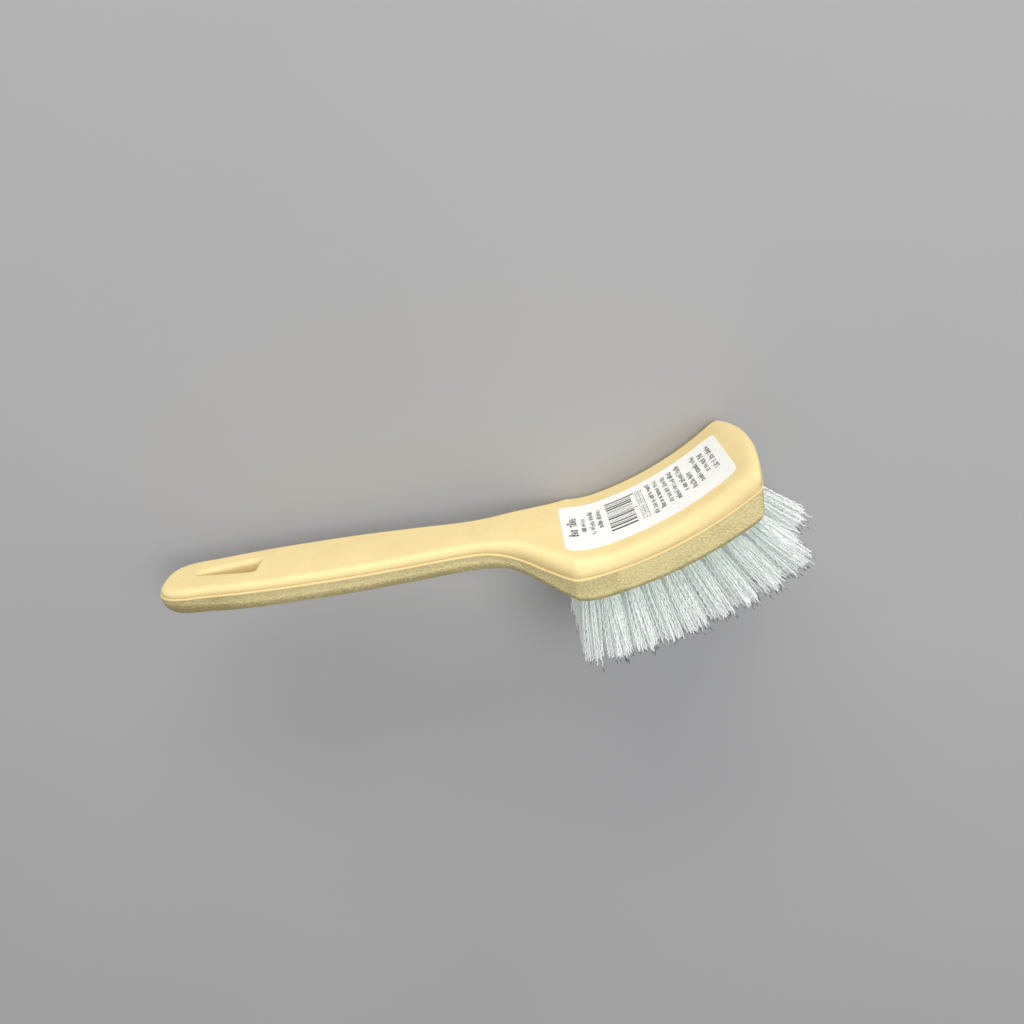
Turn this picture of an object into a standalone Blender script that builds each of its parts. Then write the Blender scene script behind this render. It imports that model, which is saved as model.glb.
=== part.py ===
"""A hand scrub brush: a moulded handle and curved block, a label, and tufts of filament.

The brush lies on its side: X runs from the handle's end to the nose, Y from the bristles to the
back, and Z across the width. Lengths are in metres. While it is drawn, x = 0 is where the block
starts, y = 0 is near the handle's underside and z = 0 is the middle of the width. At the end
everything hangs on one empty, which puts the middle of the model's base on the origin.
"""
import math

import bmesh
import bpy
from mathutils import Matrix, Vector

# Plan of the moulding, seen on its back
TAIL_X = -0.1428
TAIL_DEPTH = 0.0163
TAIL_SQUARENESS = 2.8
HANDLE_HALF_WIDTHS = [(-0.1265, 0.0137), (-0.1100, 0.0154), (-0.0920, 0.0159),
                      (-0.0720, 0.0155), (-0.0550, 0.0141), (-0.0400, 0.0125),
                      (-0.0330, 0.0124), (-0.0260, 0.0137), (-0.0190, 0.0166),
                      (-0.0110, 0.0225), (-0.0036, 0.0287)]
BLOCK_HALF_WIDTH = 0.0301
SHOULDER_RADIUS = 0.0058
BLOCK_START_X = 0.0002
NOSE_X = 0.0620
NOSE_RADIUS = 0.1200
NOSE_CORNER_RADIUS = 0.0020
NOSE_CORNER_GROWTH = 0.8
NOSE_SLANT = 0.0018
SLANT_SPAN = (0.0350, 0.0600)

# Side view: straight handle faces that run into two arcs, each given by radius and lowest height
ARC_CENTRE_X = -0.0140
BACK_RADIUS = 0.1140
BACK_LOWEST_Y = 0.0051
FACE_RADIUS = 0.1333
FACE_LOWEST_Y = -0.0088
HANDLE_BACK_Y = 0.0104
HANDLE_BACK_SLOPE = 0.0105
HANDLE_FACE_Y = 0.0001
HANDLE_FACE_SLOPE = 0.0080
SLOPE_PIVOT_X = -0.0366
BACK_BLEND = (-0.0231, 0.0106)
FACE_BLEND = (-0.0270, 0.0058)

# Rounded edges along the back and along the bristle face
BACK_EDGE_HANDLE = 0.0027
BACK_EDGE_BLOCK = 0.0046
FACE_EDGE_TAIL = 0.0060
FACE_EDGE_HANDLE = 0.0040
FACE_EDGE_BLOCK = 0.0023
TAIL_BLEND = (-0.1400, -0.1120)
EDGE_BLEND = (-0.0330, 0.0)
EDGE_STEPS = 3

# Hang slot through the handle's end
SLOT_TIP_X = -0.1302
SLOT_HEAD_X = -0.1090
SLOT_HALF_WIDTH = 0.0052
SLOT_TIP_RADIUS = 0.0016
SLOT_HEAD_RADIUS = 0.0014

# Tufts and their blind holes, with space below each tuft for the wire that holds it
ROW_PITCH = 0.0116
ROW_COUNT = 5
TUFTS_IN_ROW = [9, 9, 10, 9, 9]
FIRST_TUFT_X = 0.0018
LAST_TUFT_X = 0.0540
NOSE_TUFT_X = 0.0585
FIRST_LEAN = math.radians(-3.0)
LAST_LEAN = math.radians(43.0)
NOSE_LEAN = math.radians(50.0)
TUFT_LENGTH = 0.0268
TUFT_ROOT_RADIUS = 0.0019
TUFT_TIP_RADIUS = 0.0043
TUFT_TIP_STRETCH = 1.20
HOLE_RADIUS = 0.0022
HOLE_DEPTH = 0.0085
GAP = 0.0003
ANCHOR_SPACE = 0.0021
HOLE_SIDES = 10

# Label on the concave back
LABEL_START_X = -0.0038
LABEL_END_X = 0.0529
LABEL_HALF_WIDTH = 0.0189
LABEL_OFFSET_Z = 0.0017
LABEL_CORNER = 0.0030
LABEL_THICKNESS = 0.00025

PLASTIC = ("tan_plastic", (0.80, 0.67, 0.40, 1.0), 0.45, 0.0)
PAPER = ("label_paper", (0.86, 0.85, 0.80, 1.0), 0.55, 0.0)
NYLON = ("white_nylon", (0.70, 0.76, 0.72, 1.0), 0.35, 0.0)


def clear_scene():
    for old in list(bpy.data.objects):
        bpy.data.objects.remove(old, do_unlink=True)


def make_material(finish):
    name, colour, roughness, metallic = finish
    material = bpy.data.materials.new(name)
    material.use_nodes = True
    shader = material.node_tree.nodes["Principled BSDF"]
    shader.inputs["Base Color"].default_value = colour
    shader.inputs["Roughness"].default_value = roughness
    shader.inputs["Metallic"].default_value = metallic
    material.diffuse_color = colour
    return material


def add_object(name, bm, material=None):
    mesh = bpy.data.meshes.new(name)
    bmesh.ops.recalc_face_normals(bm, faces=bm.faces)
    bm.to_mesh(mesh)
    bm.free()
    made = bpy.data.objects.new(name, mesh)
    bpy.context.collection.objects.link(made)
    if material:
        mesh.materials.append(material)
    return made


def ease(x, span):
    """0 before the span, 1 after it, with a smooth rise between."""
    t = min(1.0, max(0.0, (x - span[0]) / (span[1] - span[0])))
    return t * t * (3.0 - 2.0 * t)


def bent_y(x, pivot_y, slope, radius, lowest_y, span):
    """Height of a face that is straight along the handle and an arc along the block."""
    straight = pivot_y + slope * (x - SLOPE_PIVOT_X)
    if x <= span[0]:
        return straight
    arc = lowest_y + radius - math.sqrt(radius ** 2 - (x - ARC_CENTRE_X) ** 2)
    return straight + (arc - straight) * ease(x, span)


def back_y(x):
    return bent_y(x, HANDLE_BACK_Y, HANDLE_BACK_SLOPE, BACK_RADIUS, BACK_LOWEST_Y, BACK_BLEND)


def face_y(x):
    return bent_y(x, HANDLE_FACE_Y, HANDLE_FACE_SLOPE, FACE_RADIUS, FACE_LOWEST_Y, FACE_BLEND)


def back_edge(x):
    return BACK_EDGE_HANDLE + (BACK_EDGE_BLOCK - BACK_EDGE_HANDLE) * ease(x, EDGE_BLEND)


def face_edge(x):
    radius = FACE_EDGE_TAIL + (FACE_EDGE_HANDLE - FACE_EDGE_TAIL) * ease(x, TAIL_BLEND)
    return radius + (FACE_EDGE_BLOCK - FACE_EDGE_HANDLE) * ease(x, EDGE_BLEND)


def smooth_curve(points, steps):
    """Cubic curve through the points, its tangents taken from the neighbours."""
    tangents = []
    for i in range(len(points)):
        a = points[max(i - 1, 0)]
        b = points[min(i + 1, len(points) - 1)]
        tangents.append((b[1] - a[1]) / (b[0] - a[0]))
    curve = []
    for i in range(len(points) - 1):
        (x0, w0), (x1, w1) = points[i], points[i + 1]
        span = x1 - x0
        for k in range(steps):
            t = k / steps
            h = w0 * (2 * t ** 3 - 3 * t ** 2 + 1) + w1 * (3 * t ** 2 - 2 * t ** 3)
            h += span * tangents[i] * (t ** 3 - 2 * t ** 2 + t)
            h += span * tangents[i + 1] * (t ** 3 - t ** 2)
            curve.append((x0 + span * t, h))
    return curve


def arc_points(centre, radius, start, end, steps):
    """Points on an arc in plan; angles in degrees from +X towards +Z, both ends included."""
    points = []
    for k in range(steps + 1):
        angle = math.radians(start + (end - start) * k / steps)
        points.append((centre[0] + radius * math.cos(angle), centre[1] + radius * math.sin(angle)))
    return points


def plan_half(corner_radius):
    """Half of the moulding's outline, from the tail's tip along +Z to the nose's middle."""
    points = []
    tail_steps = 7
    tail_width = HANDLE_HALF_WIDTHS[0][1]
    for k in range(tail_steps):
        angle = math.radians(90.0 * k / tail_steps)
        reach = math.cos(angle) ** (2.0 / TAIL_SQUARENESS)
        width = math.sin(angle) ** (2.0 / TAIL_SQUARENESS)
        points.append((TAIL_X + TAIL_DEPTH * (1.0 - reach), tail_width * width))
    points += smooth_curve(HANDLE_HALF_WIDTHS, 3)
    shoulder = (BLOCK_START_X, BLOCK_HALF_WIDTH - SHOULDER_RADIUS)
    points += arc_points(shoulder, SHOULDER_RADIUS, 130.0, 90.0, 3)
    nose_centre_x = NOSE_X - NOSE_RADIUS
    corner_z = BLOCK_HALF_WIDTH - corner_radius
    corner_reach = math.sqrt((NOSE_RADIUS - corner_radius) ** 2 - corner_z ** 2)
    corner = (nose_centre_x + corner_reach, corner_z)
    side_steps = 9
    for k in range(1, side_steps):
        x = BLOCK_START_X + (corner[0] - BLOCK_START_X) * k / side_steps
        points.append((x, BLOCK_HALF_WIDTH))
    turn = math.degrees(math.atan2(corner_z, corner_reach))
    points += arc_points(corner, corner_radius, 90.0, turn, 4)
    nose_arc = arc_points((nose_centre_x, 0.0), NOSE_RADIUS, turn, 0.0, 4)
    points += nose_arc[1:]
    return points


def full_outline(corner_radius):
    """The whole outline as x, z points and outward normals; it starts at the tail's tip."""
    half = plan_half(corner_radius)
    mirrored = [(x, -z) for x, z in reversed(half[1:-1])]
    ring = half + mirrored
    normals = []
    for i in range(len(ring)):
        before = Vector(ring[i - 1])
        here = Vector(ring[i])
        after = Vector(ring[(i + 1) % len(ring)])
        along = (here - before).normalized() + (after - here).normalized()
        normals.append(Vector((-along.y, along.x)).normalized())
    return ring, normals


def edge_levels():
    """Each level of the wall: how far in it lies and how far from its flat, in edge radii."""
    levels = []
    for k in range(EDGE_STEPS + 1):
        angle = math.radians(90.0 * k / EDGE_STEPS)
        levels.append((1.0 - math.sin(angle), 1.0 - math.cos(angle)))
    return levels


def level_points(flat, edge, inset_share, drop_share, sign):
    """One ring of the wall. flat and edge are functions of x; sign is +1 for the back.

    The nose's corners get rounder towards the back and the bristle face, and its rounded edge
    along the back leans in towards the handle.
    """
    growth = NOSE_CORNER_GROWTH * edge(NOSE_X) * inset_share
    lean = NOSE_SLANT * inset_share if sign > 0.0 else 0.0
    ring, normals = full_outline(NOSE_CORNER_RADIUS + growth)
    points = []
    for (x, z), normal in zip(ring, normals):
        radius = edge(x)
        inner_x = x - normal.x * radius * inset_share - lean * ease(x, SLANT_SPAN)
        inner_z = z - normal.y * radius * inset_share
        points.append(Vector((inner_x, flat(inner_x) - sign * radius * drop_share, inner_z)))
    return points


def cap_ladder(bm, ring, half_count):
    """Closes a ring with strips from side to side, so each strip is flat."""
    count = len(ring)
    for i in range(half_count - 1):
        left = [ring[i], ring[i + 1]]
        right = [ring[(count - i - 1) % count], ring[(count - i) % count]]
        corners = []
        for vert in left + right:
            if vert not in corners:
                corners.append(vert)
        bm.faces.new(corners)


def moulding_mesh():
    half_count = len(plan_half(NOSE_CORNER_RADIUS))
    bm = bmesh.new()
    levels = edge_levels()
    rings = []
    for inset, drop in levels:
        rings.append(level_points(face_y, face_edge, inset, drop, -1.0))
    for inset, drop in reversed(levels):
        rings.append(level_points(back_y, back_edge, inset, drop, 1.0))
    loops = []
    for points in rings:
        loops.append([bm.verts.new(point) for point in points])
    for lower, upper in zip(loops[:-1], loops[1:]):
        for i in range(len(lower)):
            k = (i + 1) % len(lower)
            bm.faces.new((lower[i], lower[k], upper[k], upper[i]))
    cap_ladder(bm, loops[0], half_count)
    cap_ladder(bm, loops[-1], half_count)
    return bm


def slot_cutter():
    """A prism through the handle: pointed towards the tail, square towards the block."""
    side = math.atan2(SLOT_HALF_WIDTH - SLOT_TIP_RADIUS, SLOT_HEAD_X - SLOT_TIP_X)
    tilt = 90.0 + math.degrees(side)
    tip = (SLOT_TIP_X + SLOT_TIP_RADIUS, 0.0)
    head_x = SLOT_HEAD_X - SLOT_HEAD_RADIUS
    head_z = SLOT_HALF_WIDTH - SLOT_HEAD_RADIUS
    outline = arc_points(tip, SLOT_TIP_RADIUS, 360.0 - tilt, tilt, 6)
    outline += arc_points((head_x, head_z), SLOT_HEAD_RADIUS, tilt, 0.0, 4)
    outline += arc_points((head_x, -head_z), SLOT_HEAD_RADIUS, 0.0, -tilt, 4)
    bm = bmesh.new()
    verts = [bm.verts.new((x, -0.02, z)) for x, z in outline]
    base = bm.faces.new(verts)
    top = bmesh.ops.extrude_face_region(bm, geom=[base])
    moved = [part for part in top["geom"] if isinstance(part, bmesh.types.BMVert)]
    bmesh.ops.translate(bm, vec=(0.0, 0.05, 0.0), verts=moved)
    return add_object("slot_cutter", bm)


def tuft_places():
    """Name, root and axis of every tuft; the axis points out of the block."""
    places = []
    for row in range(ROW_COUNT):
        z = (row - (ROW_COUNT - 1) / 2) * ROW_PITCH
        count = TUFTS_IN_ROW[row]
        last_x = NOSE_TUFT_X if count > min(TUFTS_IN_ROW) else LAST_TUFT_X
        last_lean = NOSE_LEAN if count > min(TUFTS_IN_ROW) else LAST_LEAN
        for k in range(count):
            share = k / (count - 1)
            x = FIRST_TUFT_X + (last_x - FIRST_TUFT_X) * share
            lean = FIRST_LEAN + (last_lean - FIRST_LEAN) * share
            axis = Vector((math.sin(lean), -math.cos(lean), 0.0))
            places.append((row, k, Vector((x, face_y(x), z)), axis))
    return places


def place_on_axis(obj, root, axis):
    """Stands an object's +Z on the axis, with its X in the plane of the brush's side."""
    side = axis.cross(Vector((0.0, 0.0, 1.0))).normalized()
    across = axis.cross(side)
    turn = Matrix((side, across, axis)).transposed()
    obj.matrix_world = Matrix.Translation(root) @ turn.to_4x4()


def round_section(bm, radius, stretch, height):
    verts = []
    for k in range(HOLE_SIDES):
        angle = math.tau * (k + 0.5) / HOLE_SIDES
        across = radius * stretch * math.sin(angle)
        verts.append(bm.verts.new((radius * math.cos(angle), across, height)))
    return verts


def round_solid(sections):
    """Joins sections of (radius, stretch, height) into one closed solid."""
    bm = bmesh.new()
    loops = [round_section(bm, *section) for section in sections]
    for lower, upper in zip(loops[:-1], loops[1:]):
        for i in range(HOLE_SIDES):
            k = (i + 1) % HOLE_SIDES
            bm.faces.new((lower[i], lower[k], upper[k], upper[i]))
    bm.faces.new(reversed(loops[0]))
    bm.faces.new(loops[-1])
    return bm


def hole_cutters(places):
    """All blind holes as one cutter of separate prisms."""
    bm = bmesh.new()
    for row, k, root, axis in places:
        side = axis.cross(Vector((0.0, 0.0, 1.0))).normalized()
        turn = Matrix((side, axis.cross(side), axis)).transposed().to_4x4()
        low = -HOLE_DEPTH
        high = 0.004
        drill = round_solid([(HOLE_RADIUS, 1.0, low), (HOLE_RADIUS, 1.0, high)])
        drill.transform(Matrix.Translation(root) @ turn)
        piece = bpy.data.meshes.new("drill")
        drill.to_mesh(piece)
        drill.free()
        bm.from_mesh(piece)
        bpy.data.meshes.remove(piece)
    return add_object("hole_cutters", bm)


def cut(target, cutter):
    cutter.hide_render = True
    cutter.display_type = "WIRE"
    modifier = target.modifiers.new(cutter.name, "BOOLEAN")
    modifier.operation = "DIFFERENCE"
    modifier.object = cutter
    modifier.solver = "EXACT"


def build_moulding(places, material):
    body = add_object("handle_block", moulding_mesh(), material)
    cutters = [slot_cutter(), hole_cutters(places)]
    for cutter in cutters:
        cut(body, cutter)
    return [body] + cutters


def build_tufts(places, material):
    """A tuft stands in its hole above the wire and flares from the block to its trimmed end."""
    tufts = []
    bottom = ANCHOR_SPACE - HOLE_DEPTH
    for row, k, root, axis in places:
        sections = [(TUFT_ROOT_RADIUS, 1.0, bottom), (TUFT_ROOT_RADIUS, 1.0, 0.0),
                    (TUFT_ROOT_RADIUS * 1.15, 1.05, 0.004),
                    (TUFT_TIP_RADIUS, TUFT_TIP_STRETCH, TUFT_LENGTH)]
        name = "tuft_%d_%02d" % (row + 1, k + 1)
        tuft = add_object(name, round_solid(sections), material)
        place_on_axis(tuft, root, axis)
        tufts.append(tuft)
    return tufts


def build_label(material):
    """A thin sheet that follows the concave back, a hair above it."""
    bm = bmesh.new()
    middle = (LABEL_START_X + LABEL_END_X) / 2
    half_length = (LABEL_END_X - LABEL_START_X) / 2
    near_x = half_length - LABEL_CORNER
    near_z = LABEL_HALF_WIDTH - LABEL_CORNER
    half = arc_points((-near_x, near_z), LABEL_CORNER, 180.0, 90.0, 3)
    steps = 12
    for k in range(1, steps):
        half.append((-near_x + 2 * near_x * k / steps, LABEL_HALF_WIDTH))
    half += arc_points((near_x, near_z), LABEL_CORNER, 90.0, 0.0, 3)
    loops = []
    for lift in (GAP, GAP + LABEL_THICKNESS):
        ring = []
        for x, z in half + [(x, -z) for x, z in reversed(half)]:
            place = (middle + x, back_y(middle + x) + lift, LABEL_OFFSET_Z + z)
            ring.append(bm.verts.new(place))
        loops.append(ring)
    count = len(loops[0])
    for i in range(count):
        k = (i + 1) % count
        bm.faces.new((loops[0][i], loops[0][k], loops[1][k], loops[1][i]))
    for ring in loops:
        for i in range(len(half) - 1):
            bm.faces.new((ring[i], ring[i + 1], ring[count - i - 2], ring[count - i - 1]))
    return [add_object("label", bm, material)]


def stand_on_origin(objects):
    """Hangs everything on one empty that puts the middle of the base on the origin."""
    corners = []
    for obj in objects:
        if obj.hide_render:
            continue
        corners += [obj.matrix_world @ vert.co for vert in obj.data.vertices]
    low = Vector([min(corner[i] for corner in corners) for i in range(3)])
    high = Vector([max(corner[i] for corner in corners) for i in range(3)])
    base = bpy.data.objects.new("brush_base", None)
    bpy.context.collection.objects.link(base)
    base.location = (-(low.x + high.x) / 2, -(low.y + high.y) / 2, -low.z)
    for obj in objects:
        obj.parent = base


def shade(objects):
    for obj in objects:
        obj.data.shade_smooth()
        obj.data.set_sharp_from_angle(angle=math.radians(35.0))


def main():
    clear_scene()
    places = tuft_places()
    moulding = build_moulding(places, make_material(PLASTIC))
    tufts = build_tufts(places, make_material(NYLON))
    label = build_label(make_material(PAPER))
    shade(moulding[:1] + tufts + label)
    bpy.context.view_layer.update()
    stand_on_origin(moulding + tufts + label)


main()
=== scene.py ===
import math
import random

import bmesh
import bpy
from mathutils import Matrix, Vector


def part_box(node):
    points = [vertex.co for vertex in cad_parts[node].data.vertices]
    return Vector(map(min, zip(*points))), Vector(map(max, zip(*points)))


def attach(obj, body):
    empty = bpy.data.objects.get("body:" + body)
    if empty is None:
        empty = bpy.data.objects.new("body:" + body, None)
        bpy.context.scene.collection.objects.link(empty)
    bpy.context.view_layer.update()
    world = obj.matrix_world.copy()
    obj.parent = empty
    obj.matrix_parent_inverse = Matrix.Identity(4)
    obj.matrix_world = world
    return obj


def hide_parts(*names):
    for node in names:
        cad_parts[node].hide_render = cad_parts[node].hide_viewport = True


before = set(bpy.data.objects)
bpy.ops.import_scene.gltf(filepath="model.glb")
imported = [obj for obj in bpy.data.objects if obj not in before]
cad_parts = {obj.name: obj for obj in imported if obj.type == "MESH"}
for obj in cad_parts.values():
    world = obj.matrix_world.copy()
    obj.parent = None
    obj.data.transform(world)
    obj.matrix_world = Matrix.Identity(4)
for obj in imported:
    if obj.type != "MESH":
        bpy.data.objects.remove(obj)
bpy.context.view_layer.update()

mm = 0.001

# The moulding's plan and side view, in millimetres from where the block starts
moulding = {
    "tailX": -142.8, "tailDepth": 16.3, "tailSquareness": 2.8,
    "handleHalfWidths": [(-126.5, 13.7), (-110.0, 15.4), (-92.0, 15.9), (-72.0, 15.5), (-55.0, 14.1),
                         (-40.0, 12.5), (-33.0, 12.4), (-26.0, 13.7), (-19.0, 16.6), (-11.0, 22.5),
                         (-3.6, 28.7)],
    "blockHalfWidth": 30.1, "shoulderRadius": 5.8, "blockStartX": 0.2,
    "noseX": 62.0, "noseRadius": 120.0, "noseCornerRadius": 2.0, "noseCornerGrowth": 0.8,
    "noseSlant": 1.8, "slantSpan": (35.0, 60.0),
    "arcX": -14.0, "pivotX": -36.6,
    "back": {"y": 10.4, "slope": 0.0105, "radius": 114.0, "lowest": 5.1, "span": (-23.1, 10.6)},
    "face": {"y": 0.1, "slope": 0.0080, "radius": 133.3, "lowest": -8.8, "span": (-27.0, 5.8)},
    "parting": {"y": 6.7, "slope": 0.0030, "radius": 124.6, "lowest": -0.1, "span": (-31.8, 2.9)},
    "backEdge": (2.7, 4.6), "faceEdge": (4.0, 2.3), "edgeSpan": (-33.0, 0.0),
    "tailFaceEdge": 6.0, "tailSpan": (-140.0, -112.0),
    "beadHeight": 0.42, "lowerInset": 0.12, "upperInset": 0.5, "creaseInset": 0.62,
    "creaseShadeReach": 2.2, "tailShade": (-142.0, -86.0), "edgeSteps": 9, "curveSteps": 8,
    "tailSteps": 22, "sideSteps": 34, "sharpAngle": 32.0,
}

blockLow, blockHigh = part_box("handle_block")


def ease(x, span):
    t = min(1.0, max(0.0, (x - span[0]) / (span[1] - span[0])))
    return t * t * (3.0 - 2.0 * t)


def surfaceY(x, side):  # height of the back, the face or the parting line
    straight = side["y"] + side["slope"] * (x - moulding["pivotX"])
    if x <= side["span"][0]:
        return straight
    arc = side["lowest"] + side["radius"] - math.sqrt(side["radius"] ** 2 - (x - moulding["arcX"]) ** 2)
    return straight + (arc - straight) * ease(x, side["span"])


def backY(x):
    return surfaceY(x, moulding["back"])


def faceY(x):
    return surfaceY(x, moulding["face"])


def partingY(x):
    return surfaceY(x, moulding["parting"])


def backEdge(x):
    start, end = moulding["backEdge"]
    return start + (end - start) * ease(x, moulding["edgeSpan"])


def faceEdge(x):
    start, end = moulding["faceEdge"]
    tail = moulding["tailFaceEdge"]
    return (tail + (start - tail) * ease(x, moulding["tailSpan"])
            + (end - start) * ease(x, moulding["edgeSpan"]))


lowestFace = min(faceY(-20.0 + 0.1 * k) for k in range(400))
shift = Vector((blockLow.x / mm - moulding["tailX"], blockLow.y / mm - lowestFace,
                (blockLow.z + blockHigh.z) / 2 / mm))


def toRow(x, y, z):  # drawing place in millimetres to the row's metres
    return (Vector((x, y, z)) + shift) * mm


def smoothCurve(points, steps):
    tangents = []
    for i in range(len(points)):
        a = points[max(i - 1, 0)]
        b = points[min(i + 1, len(points) - 1)]
        tangents.append((b[1] - a[1]) / (b[0] - a[0]))
    curve = []
    for i in range(len(points) - 1):
        (x0, w0), (x1, w1) = points[i], points[i + 1]
        span = x1 - x0
        for k in range(steps):
            t = k / steps
            w = w0 * (2 * t ** 3 - 3 * t ** 2 + 1) + w1 * (3 * t ** 2 - 2 * t ** 3)
            w += span * tangents[i] * (t ** 3 - 2 * t ** 2 + t) + span * tangents[i + 1] * (t ** 3 - t ** 2)
            curve.append((x0 + span * t, w))
    return curve


def arcPoints(centre, radius, start, end, steps):
    points = []
    for k in range(steps + 1):
        angle = math.radians(start + (end - start) * k / steps)
        points.append((centre[0] + radius * math.cos(angle), centre[1] + radius * math.sin(angle)))
    return points


def planHalf(cornerRadius):  # half the plan outline, from the tail's tip round to the nose's middle
    m = moulding
    points = []
    tailSteps = m["tailSteps"]
    for k in range(tailSteps):
        angle = math.radians(90.0 * k / tailSteps)
        reach = math.cos(angle) ** (2.0 / m["tailSquareness"])
        width = math.sin(angle) ** (2.0 / m["tailSquareness"])
        points.append((m["tailX"] + m["tailDepth"] * (1.0 - reach), m["handleHalfWidths"][0][1] * width))
    points += smoothCurve(m["handleHalfWidths"], m["curveSteps"])
    shoulder = (m["blockStartX"], m["blockHalfWidth"] - m["shoulderRadius"])
    points += arcPoints(shoulder, m["shoulderRadius"], 130.0, 90.0, 8)
    cornerZ = m["blockHalfWidth"] - cornerRadius
    cornerReach = math.sqrt((m["noseRadius"] - cornerRadius) ** 2 - cornerZ ** 2)
    corner = (m["noseX"] - m["noseRadius"] + cornerReach, cornerZ)
    sideSteps = m["sideSteps"]
    for k in range(1, sideSteps):
        share = k / sideSteps
        points.append((m["blockStartX"] + (corner[0] - m["blockStartX"]) * share, m["blockHalfWidth"]))
    turn = math.degrees(math.atan2(cornerZ, cornerReach))
    points += arcPoints(corner, cornerRadius, 90.0, turn, 12)
    points += arcPoints((m["noseX"] - m["noseRadius"], 0.0), m["noseRadius"], turn, 0.0, 14)[1:]
    return points


def mouldingOutline(inset):  # the nose's corners get rounder as the wall draws in
    half = planHalf(moulding["noseCornerRadius"] + moulding["noseCornerGrowth"] * inset)
    return half + [(x, -z) for x, z in reversed(half[1:-1])]


def outlineNormals(ring):
    normals = []
    for i in range(len(ring)):
        before, here, after = Vector(ring[i - 1]), Vector(ring[i]), Vector(ring[(i + 1) % len(ring)])
        along = (here - before).normalized() + (after - here).normalized()
        normals.append(Vector((-along.y, along.x)).normalized())
    return normals


def wallLevels():  # every ring of the wall, as a function of x that gives its inset and height
    m = moulding
    levels = []
    steps = m["edgeSteps"]
    for k in range(steps + 1):
        angle = math.radians(90.0 * k / steps)

        def low(x, angle=angle):
            r = faceEdge(x)
            return m["lowerInset"] + r * (1 - math.sin(angle)), faceY(x) + r * (1 - math.cos(angle))
        levels.append(low)
    bead = ((m["lowerInset"], -0.8), (0.03, -0.45), (0.0, -0.1), (0.1, 0.4), (0.34, 0.8),
            (m["creaseInset"], 1.0), (m["upperInset"], 1.5))
    for inset, rise in bead:
        levels.append(lambda x, inset=inset, rise=rise: (inset, partingY(x) + rise * m["beadHeight"]))
    for k in range(steps, -1, -1):
        angle = math.radians(90.0 * k / steps)

        def high(x, angle=angle):
            r = backEdge(x)
            drop = min(r, backY(x) - partingY(x) - 1.8 * m["beadHeight"])
            return m["upperInset"] + r * (1 - math.sin(angle)), backY(x) - drop * (1 - math.cos(angle))
        levels.append(high)
    return levels


def mouldingRing(level):
    m = moulding
    ring = mouldingOutline(level(m["noseX"])[0])
    places = []
    for (x, z), n in zip(ring, outlineNormals(ring)):
        inset = level(x)[0]
        innerX, innerZ = x - n.x * inset, z - n.y * inset
        if level(innerX)[1] > partingY(innerX) + 2.0 * m["beadHeight"]:
            lean = (inset - m["upperInset"]) / backEdge(x)
            innerX -= lean * m["noseSlant"] * ease(x, m["slantSpan"])
        places.append((innerX, level(innerX)[1], innerZ))
    return places


def firstRing(bm, places):
    verts = [bm.verts.new(toRow(*place)) for place in places]
    edges = [bm.edges.new((verts[i], verts[(i + 1) % len(verts)])) for i in range(len(verts))]
    return verts, edges


def nextRing(bm, verts, edges, places):
    made = bmesh.ops.extrude_edge_only(bm, edges=edges)["geom"]
    fresh = {part for part in made if isinstance(part, bmesh.types.BMVert)}
    above = []
    for vert, place in zip(verts, places):
        twin = next(e.other_vert(vert) for e in vert.link_edges if e.other_vert(vert) in fresh)
        twin.co = toRow(*place)
        above.append(twin)
    ringEdges = [bm.edges.get((above[i], above[(i + 1) % len(above)])) for i in range(len(above))]
    return above, ringEdges


def ladderCap(bm, verts, half):  # one face over the ring, split from side to side
    bm.faces.new(verts)
    for i in range(1, half - 1):
        bmesh.ops.connect_verts(bm, verts=[verts[i], verts[len(verts) - i]])


def wallFromRings(rings, half=None):
    bm = bmesh.new()
    verts, edges = firstRing(bm, rings[0])
    loops = [verts]
    for places in rings[1:]:
        verts, edges = nextRing(bm, verts, edges, places)
        loops.append(verts)
    for cap in (loops[0], loops[-1]):
        if half:
            ladderCap(bm, cap, half)
        else:
            bm.faces.new(cap)
    bmesh.ops.recalc_face_normals(bm, faces=bm.faces)
    return bm


def newPiece(name, bm, materials=(), smooth=True, sharp=35.0):
    mesh = bpy.data.meshes.new(name)
    bm.to_mesh(mesh)
    bm.free()
    piece = bpy.data.objects.new(name, mesh)
    bpy.context.scene.collection.objects.link(piece)
    for material in materials:
        mesh.materials.append(material)
    if smooth:
        mesh.shade_smooth()
        mesh.set_sharp_from_angle(angle=math.radians(sharp))
    return piece


# the wedge-shaped hang slot, in millimetres
slot = {"tipX": -130.2, "headX": -109.0, "halfWidth": 5.2, "tipRadius": 1.6, "headRadius": 1.4,
        "farRim": 2.0, "nearRim": 0.35, "rimSteps": 6}


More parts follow.
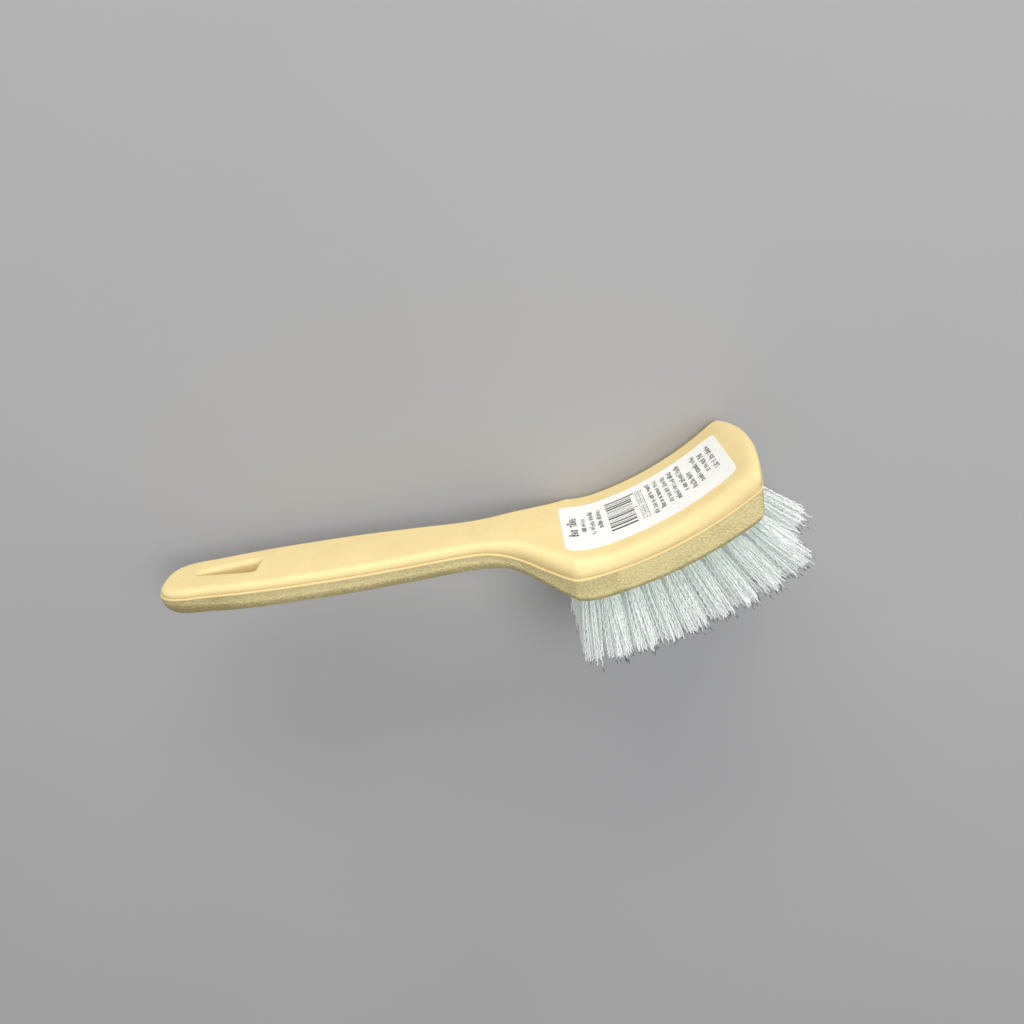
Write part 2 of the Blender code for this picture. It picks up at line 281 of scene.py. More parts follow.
def slotCutter():
    side = math.atan2(slot["halfWidth"] - slot["tipRadius"], slot["headX"] - slot["tipX"])
    tilt = 90.0 + math.degrees(side)
    tip = (slot["tipX"] + slot["tipRadius"], 0.0)
    head = (slot["headX"] - slot["headRadius"], slot["halfWidth"] - slot["headRadius"])
    ring = arcPoints(tip, slot["tipRadius"], 360.0 - tilt, tilt, 16)
    ring += arcPoints(head, slot["headRadius"], tilt, 0.0, 10)
    ring += arcPoints((head[0], -head[1]), slot["headRadius"], 0.0, -tilt, 10)
    normals = outlineNormals(ring)
    outward = -1.0 if normals[0].x > 0 else 1.0  # the tip comes first, so its normal points to the tail

    def rimRing(swell, height):  # the rim is round on the far side and crisp on the near side
        places = []
        for (x, z), n in zip(ring, normals):
            n = n * outward
            size = (slot["farRim"] + slot["nearRim"]) / 2 - (slot["farRim"] - slot["nearRim"]) / 2 * n.y
            places.append((x + n.x * size * swell, height(x, size), z + n.y * size * swell))
        return places

    steps = slot["rimSteps"]
    turns = [math.radians(90.0 * k / steps) for k in range(steps + 1)]
    rings = [rimRing(1.0, lambda x, size: faceY(x) - 2.0)]
    for a in turns:
        rings.append(rimRing(1 - math.sin(a), lambda x, size: faceY(x) + size * (1 - math.cos(a))))
    for a in reversed(turns):
        rings.append(rimRing(1 - math.sin(a), lambda x, size: backY(x) - size * (1 - math.cos(a))))
    rings.append(rimRing(1.0, lambda x, size: backY(x) + 2.0))
    return newPiece("slotCutter", wallFromRings(rings), smooth=False)


# the rows of tufts, in millimetres and degrees
tufts = {
    "rowPitch": 11.6, "counts": [9, 9, 10, 9, 9], "firstX": 1.8, "lastX": 54.0, "noseTuftX": 58.5,
    "firstLean": -3.0, "lastLean": 43.0, "noseLean": 50.0,
    "length": 24.6, "holeRadius": 2.15, "holeDepth": 8.4, "rootDepth": 6.4,
    "filaments": 128, "firstTuftShare": 0.45, "filamentRadius": 0.24, "rootSpread": 1.85, "tipSpread": 5.5,
    "acrossStretch": 1.05, "acrossLimit": 6.4, "flarePower": 0.45, "crimpHeight": 0.19, "crimpLength": 2.9,
    "clumps": 7, "clumpPull": 0.36, "rag": 2.4, "fineEvery": 5, "fineReach": 26.7, "fineTip": 0.6,
}


def tuftPlaces():  # row, number, root and outward axis of each tuft
    places = []
    rows = len(tufts["counts"])
    for row, count in enumerate(tufts["counts"]):
        longRow = count > min(tufts["counts"])
        lastX = tufts["noseTuftX"] if longRow else tufts["lastX"]
        lastLean = tufts["noseLean"] if longRow else tufts["lastLean"]
        for k in range(count):
            share = k / (count - 1)
            x = tufts["firstX"] + (lastX - tufts["firstX"]) * share
            lean = math.radians(tufts["firstLean"] + (lastLean - tufts["firstLean"]) * share)
            z = (row - (rows - 1) / 2) * tufts["rowPitch"]
            root = toRow(x, faceY(x), z)
            places.append((row, k, root, Vector((math.sin(lean), -math.cos(lean), 0.0))))
    return places


def standing(root, axis):  # turns local Z onto the tuft's axis and moves it to the root
    side = axis.cross(Vector((0.0, 0.0, 1.0))).normalized()
    turn = Matrix((side, axis.cross(side), axis)).transposed().to_4x4()
    return Matrix.Translation(root) @ turn


def holeCutter(places):
    bm = bmesh.new()
    radius = tufts["holeRadius"] * mm
    deep = tufts["holeDepth"] * mm
    for row, k, root, axis in places:
        drill = standing(root, axis)
        low = Matrix.Translation((0.0, 0.0, -deep / 2 + 0.002))
        bmesh.ops.create_cone(bm, cap_ends=True, segments=24, radius1=radius, radius2=radius,
                              depth=deep + 0.004, matrix=drill @ low)
    return newPiece("holeCutter", bm, smooth=False)


def cutWith(piece, cutters):
    for cutter in cutters:
        cut = piece.modifiers.new(cutter.name, "BOOLEAN")
        cut.operation, cut.solver, cut.object = "DIFFERENCE", "EXACT", cutter
    bpy.context.view_layer.update()
    done = bpy.data.meshes.new_from_object(piece.evaluated_get(bpy.context.evaluated_depsgraph_get()))
    piece.modifiers.clear()
    piece.data = done
    for cutter in cutters:
        bpy.data.objects.remove(cutter)


def nodeTree(name):
    material = bpy.data.materials.new(name)
    material.use_nodes = True
    tree = material.node_tree
    return material, tree.nodes, tree.links, tree.nodes["Principled BSDF"]


def ramp(nodes, stops):
    node = nodes.new("ShaderNodeValToRGB")
    elements = node.color_ramp.elements
    elements[0].position, elements[0].color = stops[0][0], (*stops[0][1], 1.0)
    elements[1].position, elements[1].color = stops[-1][0], (*stops[-1][1], 1.0)
    for place, colour in stops[1:-1]:
        elements.new(place).color = (*colour, 1.0)
    return node


def noiseNode(nodes, scale, detail=3.0, roughness=0.5):
    node = nodes.new("ShaderNodeTexNoise")
    node.inputs["Scale"].default_value = scale
    node.inputs["Detail"].default_value = detail
    node.inputs["Roughness"].default_value = roughness
    return node


def mouldedSkin():  # one group for both halves of the moulding: mottled colour, painted shade from a mesh attribute, roughness and grain
    group = bpy.data.node_groups.new("mouldedSkin", "ShaderNodeTree")
    face = group.interface
    face.new_socket("Colour", in_out="INPUT", socket_type="NodeSocketColor")
    face.new_socket("Dark Colour", in_out="INPUT", socket_type="NodeSocketColor")
    for name, value in (("Mottle", 0.5), ("Speckle", 0.3), ("Grain Size", 1800.0), ("Grain", 0.5),
                        ("Dull", 0.5), ("Dull Change", 0.1), ("Seam", 0.8)):
        face.new_socket(name, in_out="INPUT", socket_type="NodeSocketFloat").default_value = value
    face.new_socket("Colour", in_out="OUTPUT", socket_type="NodeSocketColor")
    face.new_socket("Roughness", in_out="OUTPUT", socket_type="NodeSocketFloat")
    face.new_socket("Height", in_out="OUTPUT", socket_type="NodeSocketFloat")
    nodes, links = group.nodes, group.links
    gate, out = nodes.new("NodeGroupInput"), nodes.new("NodeGroupOutput")
    place = nodes.new("ShaderNodeTexCoord")

    def reach(node):
        links.new(place.outputs["Object"], node.inputs["Vector"])
        return node

    def maths(operation, a, b):
        node = nodes.new("ShaderNodeMath")
        node.operation = operation
        for socket, value in zip(node.inputs, (a, b)):
            if isinstance(value, (int, float)):
                socket.default_value = value
            else:
                links.new(value, socket)
        return node.outputs[0]

    swirl = reach(noiseNode(nodes, 45.0, 4.0, 0.6))
    swirl.inputs["Distortion"].default_value = 1.6
    speck = noiseNode(nodes, 1900.0, 2.0, 0.6)
    streak = nodes.new("ShaderNodeMapping")
    streak.inputs["Scale"].default_value = (0.55, 1.0, 1.0)  # grains drawn out along the brush
    links.new(place.outputs["Object"], streak.inputs["Vector"])
    links.new(streak.outputs["Vector"], speck.inputs["Vector"])
    grain = reach(nodes.new("ShaderNodeTexVoronoi"))
    grain.feature = "SMOOTH_F1"
    links.new(gate.outputs["Grain Size"], grain.inputs["Scale"])
    fine = reach(noiseNode(nodes, 2600.0, 2.0, 0.5))
    mottle = maths("MULTIPLY", maths("SUBTRACT", swirl.outputs["Fac"], 0.42), gate.outputs["Mottle"])
    speckle = maths("MULTIPLY", maths("SUBTRACT", speck.outputs["Fac"], 0.5), gate.outputs["Speckle"])
    amount = nodes.new("ShaderNodeClamp")
    # painted shade: a mesh attribute pulls the colour towards the dark colour in the crease, round the
    # lower edge and towards the tail
    shadeMask = nodes.new("ShaderNodeAttribute")
    shadeMask.attribute_name = "paintedShade"
    shade = maths("ADD", maths("MULTIPLY", shadeMask.outputs["Fac"], gate.outputs["Seam"]), 0.12)
    links.new(maths("ADD", maths("ADD", mottle, speckle), shade), amount.inputs["Value"])
    blend = nodes.new("ShaderNodeMix")
    blend.data_type = "RGBA"
    links.new(amount.outputs[0], blend.inputs["Factor"])
    links.new(gate.outputs["Colour"], blend.inputs["A"])
    links.new(gate.outputs["Dark Colour"], blend.inputs["B"])
    links.new(blend.outputs["Result"], out.inputs["Colour"])
    change = maths("MULTIPLY", maths("SUBTRACT", swirl.outputs["Fac"], 0.5), gate.outputs["Dull Change"])
    links.new(maths("ADD", gate.outputs["Dull"], change), out.inputs["Roughness"])
    pebble = maths("MULTIPLY", grain.outputs["Distance"], gate.outputs["Grain"])
    links.new(maths("ADD", pebble, maths("MULTIPLY", fine.outputs["Fac"], 0.12)), out.inputs["Height"])
    return group


backFinish = {
    "Colour": (0.87, 0.70, 0.34, 1.0), "Dark Colour": (0.70, 0.53, 0.245, 1.0), "Mottle": 0.9,
    "Speckle": 0.45, "Grain Size": 1500.0, "Grain": 0.4, "Dull": 0.46, "Dull Change": 0.12, "Seam": 0.75}
# the pebbled lower half is the same plastic as the back: its grain is real, and its darker colours are
# painted shade for the small shadows in that grain
pebbledFinishAndShade = {
    "Colour": (0.74, 0.625, 0.31, 1.0), "Dark Colour": (0.36, 0.29, 0.125, 1.0), "Mottle": 0.9,
    "Speckle": 1.9, "Grain Size": 2100.0, "Grain": 1.0, "Dull": 0.58, "Dull Change": 0.1}


def plasticMaterial(name, group, values, bump):
    material, nodes, links, shader = nodeTree(name)
    skin = nodes.new("ShaderNodeGroup")
    skin.node_tree = group
    for socket, value in values.items():
        skin.inputs[socket].default_value = value
    links.new(skin.outputs["Colour"], shader.inputs["Base Color"])
    links.new(skin.outputs["Roughness"], shader.inputs["Roughness"])
    relief = nodes.new("ShaderNodeBump")
    relief.inputs["Strength"].default_value = bump
    relief.inputs["Distance"].default_value = 0.0002
    links.new(skin.outputs["Height"], relief.inputs["Height"])
    links.new(relief.outputs["Normal"], shader.inputs["Normal"])
    shader.inputs["Specular IOR Level"].default_value = 0.4
    return material


paper = {"darkTone": (0.90, 0.90, 0.86), "lightTone": (0.94, 0.94, 0.90), "cloudScale": 120.0,
         "fibreScale": 3500.0, "fibreStrength": 0.15, "gloss": (0.42, 0.55)}


def paperMaterial():
    material, nodes, links, shader = nodeTree("labelPaper")
    place = nodes.new("ShaderNodeTexCoord")
    cloud = noiseNode(nodes, paper["cloudScale"], 4.0)
    links.new(place.outputs["Object"], cloud.inputs["Vector"])
    tone = ramp(nodes, [(0.3, paper["darkTone"]), (0.7, paper["lightTone"])])
    links.new(cloud.outputs["Fac"], tone.inputs["Fac"])
    links.new(tone.outputs["Color"], shader.inputs["Base Color"])
    fibre = noiseNode(nodes, paper["fibreScale"], 3.0, 0.6)
    links.new(place.outputs["Object"], fibre.inputs["Vector"])
    relief = nodes.new("ShaderNodeBump")
    relief.inputs["Strength"].default_value = paper["fibreStrength"]
    relief.inputs["Distance"].default_value = 0.00005
    links.new(fibre.outputs["Fac"], relief.inputs["Height"])
    links.new(relief.outputs["Normal"], shader.inputs["Normal"])
    dull = ramp(nodes, [(0.3, (paper["gloss"][0],) * 3), (0.7, (paper["gloss"][1],) * 3)])
    links.new(cloud.outputs["Fac"], dull.inputs["Fac"])
    links.new(dull.outputs["Color"], shader.inputs["Roughness"])
    return material


def inkMaterial():
    material, nodes, links, shader = nodeTree("labelInk")
    place = nodes.new("ShaderNodeTexCoord")
    patch = noiseNode(nodes, 1800.0, 2.0)
    links.new(place.outputs["Object"], patch.inputs["Vector"])
    tone = ramp(nodes, [(0.35, (0.035, 0.035, 0.04)), (0.7, (0.10, 0.10, 0.105))])
    links.new(patch.outputs["Fac"], tone.inputs["Fac"])
    links.new(tone.outputs["Color"], shader.inputs["Base Color"])
    shader.inputs["Roughness"].default_value = 0.5
    return material


# tones run from the root to the tip, and their near-black end is painted shadow on the ends reaching past
# the white mass; strandTones are picked for each filament
nylon = {
    "tones": [(0.0, (0.80, 0.87, 0.83)), (0.3, (0.92, 0.95, 0.93)), (0.86, (0.97, 0.975, 0.97)),
              (0.89, (0.70, 0.71, 0.72)), (0.93, (0.14, 0.14, 0.15))],
    "strandTones": [(0.0, (0.66, 0.73, 0.73)), (0.35, (0.93, 0.96, 0.95)), (1.0, (1.0, 0.99, 0.95))],
    # glow and its strength are painted light: an emission that brightens the filaments
    "strandShare": 0.8, "paintedGlow": (0.96, 1.0, 0.98, 1.0), "paintedGlowStrength": 0.11,
    "shine": (0.22, 0.42), "streakScale": 1500.0, "scatter": 0.3,
}


def filamentMaterial():
    material, nodes, links, shader = nodeTree("whiteNylon")
    place = nodes.new("ShaderNodeTexCoord")
    centre = toRow(moulding["arcX"], moulding["face"]["lowest"] + moulding["face"]["radius"], 0.0)
    away = nodes.new("ShaderNodeVectorMath")
    away.operation = "SUBTRACT"
    away.inputs[1].default_value = centre
    links.new(place.outputs["Object"], away.inputs[0])
    flat = nodes.new("ShaderNodeVectorMath")
    flat.operation = "MULTIPLY"
    flat.inputs[1].default_value = (1.0, 1.0, 0.0)
    links.new(away.outputs[0], flat.inputs[0])
    reach = nodes.new("ShaderNodeVectorMath")
    reach.operation = "LENGTH"
    links.new(flat.outputs[0], reach.inputs[0])
    along = nodes.new("ShaderNodeMapRange")
    along.inputs["From Min"].default_value = moulding["face"]["radius"] * mm
    along.inputs["From Max"].default_value = (moulding["face"]["radius"] + tufts["fineReach"]) * mm
    links.new(reach.outputs["Value"], along.inputs["Value"])
    tone = ramp(nodes, nylon["tones"])
    links.new(along.outputs["Result"], tone.inputs["Fac"])
    island = nodes.new("ShaderNodeNewGeometry")
    own = ramp(nodes, nylon["strandTones"])
    links.new(island.outputs["Random Per Island"], own.inputs["Fac"])
    tint = nodes.new("ShaderNodeMix")
    tint.data_type, tint.blend_type = "RGBA", "MULTIPLY"
    tint.inputs["Factor"].default_value = nylon["strandShare"]
    links.new(tone.outputs["Color"], tint.inputs["A"])
    links.new(own.outputs["Color"], tint.inputs["B"])
    links.new(tint.outputs["Result"], shader.inputs["Base Color"])
    gloss = nodes.new("ShaderNodeMapRange")
    gloss.inputs["To Min"].default_value, gloss.inputs["To Max"].default_value = nylon["shine"]
    links.new(island.outputs["Random Per Island"], gloss.inputs["Value"])
    links.new(gloss.outputs["Result"], shader.inputs["Roughness"])
    streak = noiseNode(nodes, nylon["streakScale"], 2.0)
    links.new(place.outputs["Object"], streak.inputs["Vector"])
    relief = nodes.new("ShaderNodeBump")
    relief.inputs["Strength"].default_value = 0.2
    relief.inputs["Distance"].default_value = 0.00005
    links.new(streak.outputs["Fac"], relief.inputs["Height"])
    links.new(relief.outputs["Normal"], shader.inputs["Normal"])
    paintedGlow = nodes.new("ShaderNodeMix")  # painted light: the filaments glow by emission, standing in for light scattered inside the clear nylon
    paintedGlow.data_type, paintedGlow.blend_type = "RGBA", "MULTIPLY"
    paintedGlow.inputs["Factor"].default_value = 1.0
    paintedGlow.inputs["B"].default_value = nylon["paintedGlow"]
    links.new(tint.outputs["Result"], paintedGlow.inputs["A"])
    links.new(paintedGlow.outputs["Result"], shader.inputs["Emission Color"])
    shader.inputs["Emission Strength"].default_value = nylon["paintedGlowStrength"]
    shader.inputs["Subsurface Weight"].default_value = nylon["scatter"]
    shader.inputs["Subsurface Radius"].default_value = (1.0, 1.0, 1.0)
    shader.inputs["Subsurface Scale"].default_value = 0.001
    return material


def wireMaterial():
    material, nodes, links, shader = nodeTree("anchorWire")
    place = nodes.new("ShaderNodeTexCoord")
    draw = noiseNode(nodes, 4000.0, 2.0)
    links.new(place.outputs["Object"], draw.inputs["Vector"])
    tone = ramp(nodes, [(0.3, (0.42, 0.42, 0.43)), (0.7, (0.60, 0.60, 0.60))])
    links.new(draw.outputs["Fac"], tone.inputs["Fac"])
    links.new(tone.outputs["Color"], shader.inputs["Base Color"])
    shader.inputs["Metallic"].default_value = 1.0
    shader.inputs["Roughness"].default_value = 0.35
    return material


def paintMouldingShade(mesh):  # painted shade: darkens the skin most in the crease just above the bead, round the lower edge's fillet and along the lower wall towards the tail
    shadeMask = mesh.attributes.new("paintedShade", "FLOAT", "POINT")
    for vert, value in zip(mesh.vertices, shadeMask.data):
        place = vert.co / mm - shift
        above = (place.y - partingY(place.x)) / moulding["creaseShadeReach"]
        low = min(1.0, max(0.0, (place.y - faceY(place.x)) / faceEdge(place.x)))
        inSlot = place.x < slot["headX"] + 3.0 and abs(place.z) < slot["halfWidth"] + 3.0
        # painted shade below the bead: darker towards the tail and round the lower edge's fillet
        if above < 0.0:
            value.value = 0.5 * (1.0 - ease(place.x, moulding["tailShade"])) + 3.0 * low * (1.0 - low)
        elif above < 1.0 and not inSlot:
            value.value = min(1.0, above * 10.0) * (1.0 - above)


def makeBody(places, smoothSide, pebbledShadedSide):
    half = len(planHalf(moulding["noseCornerRadius"]))
    rings = [mouldingRing(level) for level in wallLevels()]
    body = newPiece("mouldedHandleAndBlock", wallFromRings(rings, half), smooth=False)
    cutWith(body, [slotCutter(), holeCutter(places)])
    mesh = body.data
    mesh.materials.clear()
    mesh.materials.append(smoothSide)
    mesh.materials.append(pebbledShadedSide)
    for polygon in mesh.polygons:
        middle = polygon.center / mm - shift
        inSlot = (slot["tipX"] - 3.0 < middle.x < slot["headX"] + 3.0
                  and abs(middle.z) < slot["halfWidth"] + 3.0 and polygon.normal.y > -0.9)
        below = middle.y < partingY(middle.x) - moulding["beadHeight"] * 0.8
        polygon.material_index = 1 if below and not inSlot else 0
    paintMouldingShade(mesh)
    mesh.shade_smooth()
    mesh.set_sharp_from_angle(angle=math.radians(moulding["sharpAngle"]))
    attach(body, "root")
    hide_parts("handle_block")
    return body


# the paper label, in millimetres
label = {
    "startX": -3.8, "endX": 52.9, "halfWidth": 18.9, "offsetZ": 1.7, "corner": 3.0,
    "lift": 0.03, "thickness": 0.14, "inkLift": 0.012, "inkThickness": 0.012,
    "barcode": {"from": 16.1, "to": 25.2, "halfWidth": 12.3, "centre": -1.0, "modules": 95,
                "bars": (1, 2, 4, 2, 5, 3), "gaps": (2, 3, 5, 3), "stretches": 6,
                "digitsAt": 28.1, "digitTall": 2.3, "digits": 11},
    # each line of print: distance from the label's start, height, first and last place across
    "lines": [(3.6, 3.3, -7.0, 7.2), (7.4, 1.6, -6.0, 5.5), (10.3, 1.8, -11.0, 8.5),
              (13.1, 1.7, -10.5, 4.5),
              (31.4, 1.7, -13.5, 11.5), (33.9, 1.6, -13.5, 10.5),
              (36.7, 1.6, -12.5, 9.0), (39.3, 1.6, -13.5, 11.0), (42.1, 1.7, -14.5, 8.0),
              (44.7, 1.6, -3.5, 10.0), (47.4, 1.6, -13.0, 9.5), (50.0, 1.7, -11.0, 5.0),
              (52.7, 1.6, -13.0, 7.0)],
    "penShare": 0.2, "tallPenShare": 0.17, "cuts": 56,
}


def bendToBack(bm):  # flat label places (x, lift, z) laid on the concave back
    for vert in bm.verts:
        x, lift, z = vert.co
        vert.co = toRow(x, backY(x) + lift, z)


def makeLabel(paper, ink):
    middle = (label["startX"] + label["endX"]) / 2
    size = (label["endX"] - label["startX"], 1.0, 2 * label["halfWidth"])
    bm = bmesh.new()
    flat = Matrix.Translation((middle, 0.0, label["offsetZ"])) @ Matrix.Rotation(math.pi / 2, 4, "X")
    bmesh.ops.create_grid(bm, x_segments=1, y_segments=1, size=0.5,
                          matrix=flat @ Matrix.Diagonal((size[0], size[2], 1.0, 1.0)))
    bmesh.ops.bevel(bm, geom=list(bm.verts), offset=label["corner"], offset_type="OFFSET", segments=8,
                    profile=0.5, affect="VERTICES", material=-1)
    cuts = label["cuts"]
    for k in range(1, cuts):
        x = label["startX"] + size[0] * k / cuts
        bmesh.ops.bisect_plane(bm, geom=list(bm.verts) + list(bm.edges) + list(bm.faces), dist=1e-5,
                               plane_co=(x, 0.0, 0.0), plane_no=(1.0, 0.0, 0.0))
    for vert in bm.verts:
        vert.co.y = label["lift"]
    raised = bmesh.ops.extrude_face_region(bm, geom=list(bm.faces))
    top = [part for part in raised["geom"] if isinstance(part, bmesh.types.BMVert)]
    bmesh.ops.translate(bm, vec=(0.0, label["thickness"], 0.0), verts=top)
    bendToBack(bm)
    bmesh.ops.recalc_face_normals(bm, faces=bm.faces)
    sheet = newPiece("paperLabel", bm, [paper])
    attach(sheet, "root")
    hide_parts("label")
    return sheet, makePrint(ink)


def inkMark(bm, x, z, long, wide):  # one printed stroke: long along the label, wide across it
    lift = label["lift"] + label["thickness"] + label["inkLift"]
    place = Matrix.Translation((label["startX"] + x, lift, label["offsetZ"] + z))
    size = Matrix.Diagonal((long, label["inkThickness"], wide, 1.0))
    bmesh.ops.create_cube(bm, size=1.0, matrix=place @ size)


def makePrint(ink):
    draw = random.Random(7)
    bm = bmesh.new()
    code = label["barcode"]
    module = 2 * code["halfWidth"] / code["modules"]
    place = 0
    while place < code["modules"]:
        bar = draw.choice(code["bars"])
        gap = draw.choice(code["gaps"])
        guard = place < 3 or place > code["modules"] - 5 or 45 < place < 50
        long = code["to"] - code["from"] + (1.3 if guard else 0.0)
        wide = min(bar, code["modules"] - place) * module * 0.92
        z = code["centre"] - code["halfWidth"] + place * module + wide / 2
        pieces = code["stretches"]
        for k in range(pieces):  # short stretches, so that a bar follows the bend
            inkMark(bm, code["from"] + long * (k + 0.5) / pieces, z, long / pieces, wide)
        place += bar + gap
    for k in range(code["digits"]):  # open marks where the digits of a code would stand
        z = code["centre"] + code["halfWidth"] * (2 * (k + 0.5) / code["digits"] - 1)
        tall, wide = code["digitTall"], code["digitTall"] * 0.55
        for side in (-0.5, 0.5):
            if draw.random() < 0.8:
                inkMark(bm, code["digitsAt"], z + side * wide, tall, 0.22)
        for level in (-0.5, 0.0, 0.5):
            if draw.random() < 0.75:
                inkMark(bm, code["digitsAt"] + level * tall, z, 0.22, wide)
    for start, tall, z0, z1 in label["lines"]:
        z = z0
        while z < z1:
            letters = draw.randint(2, 8)
            for letter in range(letters):
                if z > z1:
                    break
                makeLetter(bm, draw, start, tall, z)
                z += tall * 0.62
            z += tall * 0.55
    bendToBack(bm)
    marks = newPiece("labelPrint", bm, [ink], smooth=False)
    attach(marks, "root")
    return marks


def makeLetter(bm, draw, x, tall, z):  # two or three strokes that only look like small print
    pen = tall * (label["tallPenShare"] if tall > 2.5 else label["penShare"])
    wide = tall * 0.44
    ascent = tall * draw.choice((0.7, 0.7, 1.0))
    base = x + tall / 2
    for side in draw.sample((-0.5, 0.5), draw.choice((1, 2))):
        inkMark(bm, base - ascent / 2, z + side * (wide - pen), ascent, pen)
    for level in draw.sample((0.08, 0.5, 0.92), draw.choice((1, 2))):
        inkMark(bm, base - ascent * level, z, pen, wide)


def filamentPath(draw, clump, reach):  # from the hole's bottom to the tip, crimped all the way
    t = tufts
    angle = draw.uniform(0.0, math.tau)
    radius = math.sqrt(draw.random())
    own = Vector((math.cos(angle) * radius, math.sin(angle) * radius))
    aim = own.lerp(clump, t["clumpPull"])
    phase = draw.random()
    plane = draw.uniform(0.0, math.tau)
    swing = Vector((math.cos(plane), math.sin(plane))) * t["crimpHeight"] * draw.uniform(0.6, 1.2)
    step = t["crimpLength"] * draw.uniform(0.92, 1.1) / 2
    sway = Vector((draw.gauss(0.0, 0.45), draw.gauss(0.0, 0.45)))
    stations = [-t["rootDepth"], -phase * step]
    while stations[-1] + step < reach - 0.4:
        stations.append(stations[-1] + step)
    stations.append(reach)
    path = []
    for k, along in enumerate(stations):
        out = max(0.0, along) / t["length"]
        flare = out ** t["flarePower"]
        spot = own.lerp(aim, out) * (t["rootSpread"] + (t["tipSpread"] - t["rootSpread"]) * flare)
        spot += sway * out * out * 1.5
        spot += swing * (1 if k % 2 else -1) * min(1.0, out * 8.0)
        across = spot.y * (1 + (t["acrossStretch"] - 1) * flare)
        across = max(-t["acrossLimit"], min(t["acrossLimit"], across))  # none hangs past the block's side
        path.append(Vector((spot.x, across, along)) * mm)
    return path


def makeTuft(row, number, root, axis, nylon):
    draw = random.Random(1000 * row + number)
    t = tufts
    clumps = []
    for k in range(t["clumps"]):
        angle = math.tau * (k + draw.random()) / t["clumps"]
        radius = 0.25 + 0.75 * draw.random()
        clumps.append((Vector((math.cos(angle), math.sin(angle))) * radius, draw.uniform(0.0, 0.6)))
    name = "tuftFilaments_%d_%02d" % (row + 1, number + 1)
    curve = bpy.data.curves.new(name, "CURVE")
    curve.dimensions = "3D"
    curve.bevel_depth = t["filamentRadius"] * mm
    curve.bevel_mode = "OBJECT"
    curve.bevel_object = filamentSection()
    curve.use_fill_caps = True
    for k in range(round(t["filaments"] * (t["firstTuftShare"] if number == 0 else 1.0))):
        clump, short = clumps[k % len(clumps)]
        fine = k % t["fineEvery"] == 0
        reach = t["length"] - t["rag"] * short - abs(draw.gauss(0.0, 0.7))
        # painted shadow: these fine ends reach past the white mass, where the tones turn near-black
        if fine:
            reach = t["fineReach"] - draw.uniform(0.0, 1.8)
        path = filamentPath(draw, clump, reach)
        spline = curve.splines.new("POLY")
        spline.points.add(len(path) - 1)
        for i, (point, place) in enumerate(zip(spline.points, path)):
            point.co = (*place, 1.0)
            if fine:
                point.radius = 1.0 if i < len(path) - 3 else t["fineTip"] + 0.2 * (len(path) - 1 - i)
    rough = bpy.data.objects.new(name + "Curve", curve)
    bpy.context.scene.collection.objects.link(rough)
    bpy.context.view_layer.update()
    mesh = bpy.data.meshes.new_from_object(rough.evaluated_get(bpy.context.evaluated_depsgraph_get()))
    mesh.name = name
    mesh.transform(standing(root, axis))
    mesh.materials.clear()
    mesh.materials.append(nylon)
    mesh.shade_smooth()
    bpy.data.objects.remove(rough)
    bpy.data.curves.remove(curve)
    tuft = bpy.data.objects.new(name, mesh)
    bpy.context.scene.collection.objects.link(tuft)
    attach(tuft, "root")
    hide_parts("tuft_%d_%02d" % (row + 1, number + 1))
    return tuft


def filamentSection():  # the three-sided outline that each filament is drawn with
    old = bpy.data.objects.get("filamentSection")
    if old:
        return old
    ring = bpy.data.curves.new("filamentSection", "CURVE")
    ring.dimensions = "2D"
    spline = ring.splines.new("POLY")
    spline.points.add(2)
    for k, point in enumerate(spline.points):
        angle = -math.tau * k / 3
        size = tufts["filamentRadius"] * mm
        point.co = (math.cos(angle) * size, math.sin(angle) * size, 0.0, 1.0)
    spline.use_cyclic_u = True
    section = bpy.data.objects.new("filamentSection", ring)
    bpy.context.scene.collection.objects.link(section)
    section.hide_render = True
    return section


anchorSize = (0.0005, 0.0036, 0.0014)  # metres: thick, wide and tall


def makeAnchors(places, wire):  # the flat wire that holds each fold at the bottom of its hole
    for row in range(len(tufts["counts"])):
        bm = bmesh.new()
        for placeRow, number, root, axis in places:
            if placeRow == row:
                depth = (tufts["holeDepth"] + tufts["rootDepth"]) / 2 * mm
                spot = standing(root, axis) @ Matrix.Translation((0.0, 0.0, -depth))
                size = Matrix.Diagonal((*anchorSize, 1.0))
                made = bmesh.ops.create_cube(bm, size=1.0, matrix=spot @ size)
                edges = list({edge for vert in made["verts"] for edge in vert.link_edges})
                bmesh.ops.bevel(bm, geom=edges, offset=0.0001, offset_type="OFFSET", segments=2,
                                profile=0.5, affect="EDGES", material=-1)
        anchors = newPiece("anchorWires_%d" % (row + 1), bm, [wire])
        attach(anchors, "root")


def makeStage():
    bm = bmesh.new()
    bmesh.ops.create_grid(bm, x_segments=1, y_segments=1, size=3.0)
    material, nodes, links, shader = nodeTree("studioFloor")
    place = nodes.new("ShaderNodeTexCoord")
    cloud = noiseNode(nodes, 6.0, 3.0)
    links.new(place.outputs["Object"], cloud.inputs["Vector"])
    tone = ramp(nodes, [(0.3, (0.405, 0.402, 0.405)), (0.7, (0.42, 0.417, 0.42))])
    links.new(cloud.outputs["Fac"], tone.inputs["Fac"])
    links.new(tone.outputs["Color"], shader.inputs["Base Color"])
    shader.inputs["Roughness"].default_value = 0.9
    shader.inputs["Specular IOR Level"].default_value = 0.1
    floor = newPiece("studioFloor", bm, [material], smooth=False)


# each light: place, size, power and colour; all of them point at aim
lights = {
    "keyLight": ((0.05, 1.3, 0.42), (1.3, 0.6), 14.2, (1.0, 0.98, 0.95)),
    "skyLight": ((0.32, 0.2, 1.0), (0.5, 0.5), 4.4, (0.98, 0.99, 1.0)),
}
aim = (0.0, 0.0, 0.03)
room = {"colour": (0.97, 0.98, 1.0, 1.0), "strength": 0.5}


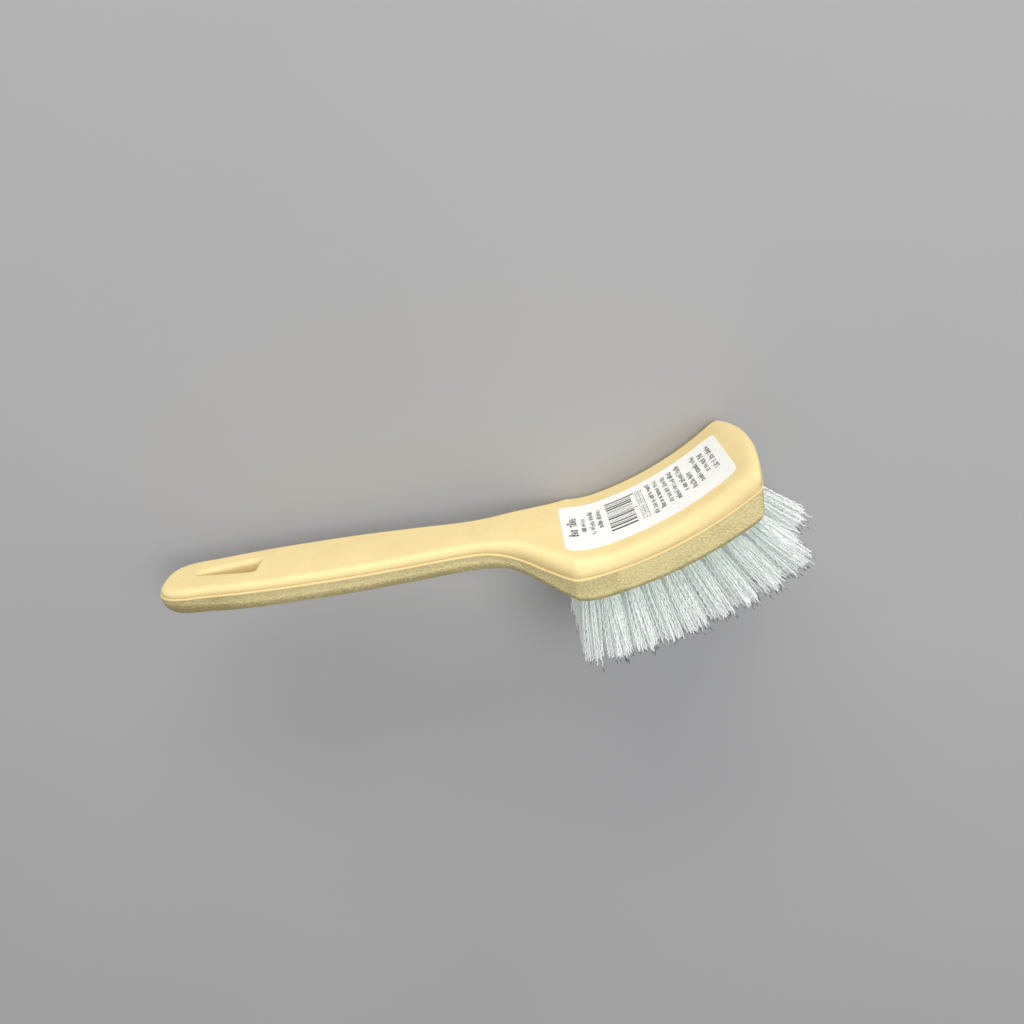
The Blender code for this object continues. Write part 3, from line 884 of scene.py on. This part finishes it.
def addLight(name, place, target, size, power, colour):
    light = bpy.data.lights.new(name, "AREA")
    light.shape = "RECTANGLE"
    light.size, light.size_y = size
    light.energy, light.color = power, colour
    lamp = bpy.data.objects.new(name, light)
    lamp.location = place
    lamp.rotation_euler = (Vector(target) - Vector(place)).to_track_quat("-Z", "Y").to_euler()
    bpy.context.scene.collection.objects.link(lamp)


def makeLights():
    for name, (place, size, power, colour) in lights.items():
        addLight(name, place, aim, size, power, colour)
    world = bpy.data.worlds.new("softRoom")
    world.use_nodes = True
    world.node_tree.nodes["Background"].inputs["Color"].default_value = room["colour"]
    world.node_tree.nodes["Background"].inputs["Strength"].default_value = room["strength"]
    bpy.context.scene.world = world


cameraView = {"place": (0.022045, 0.136408, 0.332293), "lens": 33.75,
              "right": (0.98896, -0.14664, 0.02150), "up": (0.14420, 0.91880, -0.36750)}


def makeCamera():
    lens = bpy.data.cameras.new("studioCamera")
    lens.sensor_width, lens.lens = 36.0, cameraView["lens"]
    lens.clip_start = 0.01
    camera = bpy.data.objects.new("studioCamera", lens)
    right, up = Vector(cameraView["right"]).normalized(), Vector(cameraView["up"])
    back = right.cross(up).normalized()
    up = back.cross(right)
    turn = Matrix((right, up, back)).transposed()
    camera.matrix_world = Matrix.Translation(cameraView["place"]) @ turn.to_4x4()
    bpy.context.scene.collection.objects.link(camera)
    bpy.context.scene.camera = camera


makeCamera()
makeStage()
makeLights()
bpy.context.scene.view_settings.view_transform = "Standard"
print("camera, floor and lights are set")

skin = mouldedSkin()
smoothSide = plasticMaterial("tanPlasticBack", skin, backFinish, 0.3)
pebbledShadedSide = plasticMaterial("tanPlasticPebbledShaded", skin, pebbledFinishAndShade, 0.6)
places = tuftPlaces()
makeBody(places, smoothSide, pebbledShadedSide)
print("the handle and block are moulded")
makeLabel(paperMaterial(), inkMaterial())
print("the label is on")
whiteNylon = filamentMaterial()
for row, number, root, axis in places:
    makeTuft(row, number, root, axis, whiteNylon)
bpy.data.objects.remove(filamentSection())
makeAnchors(places, wireMaterial())
print("the tufts are set")
